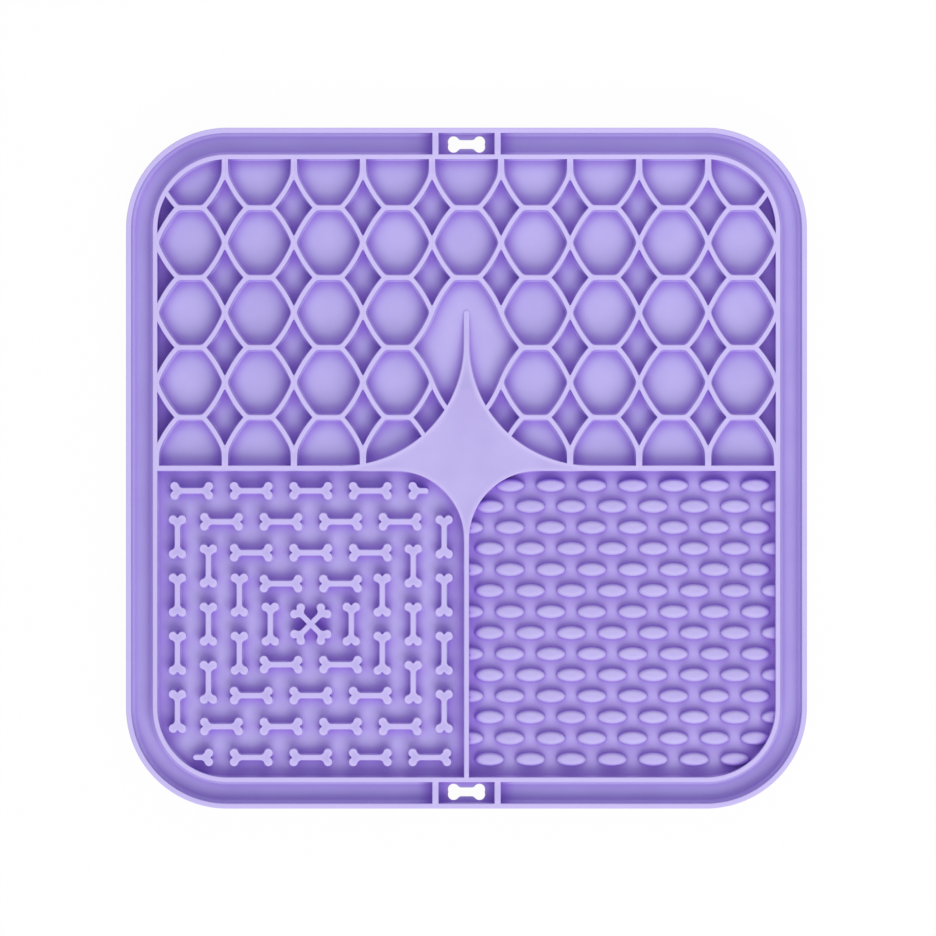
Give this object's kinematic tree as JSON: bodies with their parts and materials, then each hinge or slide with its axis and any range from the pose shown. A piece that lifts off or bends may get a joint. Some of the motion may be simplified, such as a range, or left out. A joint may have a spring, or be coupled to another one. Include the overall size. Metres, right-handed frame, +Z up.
{
  "type": "lick mat",
  "caption": "Square silicone lick mat with a honeycomb half, a bone-stud maze, an oval-bump quarter, a centre star, a spill gutter, hanging holes and suction cups.",
  "frame": {"origin": "centre of the underside, on the plane of the suction cups' lips", "axes": "+Z up out of the feeding side, +Y towards the honeycomb half, +X towards the oval bumps' side"},
  "size_m": [0.2, 0.2, 0.01],
  "materials": {
    "silicone": "matte moulded silicone, lilac"
  },
  "bodies": {
    "root": {"base_sheet": "silicone", "outer_rim": "silicone", "inner_rim": "silicone", "gutter_bars": "silicone", "centre_star": "silicone", "left_rib": "silicone", "right_rib": "silicone", "lower_rib": "silicone", "honeycomb_walls": "silicone", "row_bone_studs": "silicone", "column_bone_studs": "silicone", "half_bone_studs": "silicone", "crossed_bone_stud": "silicone", "oval_bumps": "silicone", "edge_oval_bumps": "silicone", "suction_cups": "silicone"}
  },
  "joints": []
}
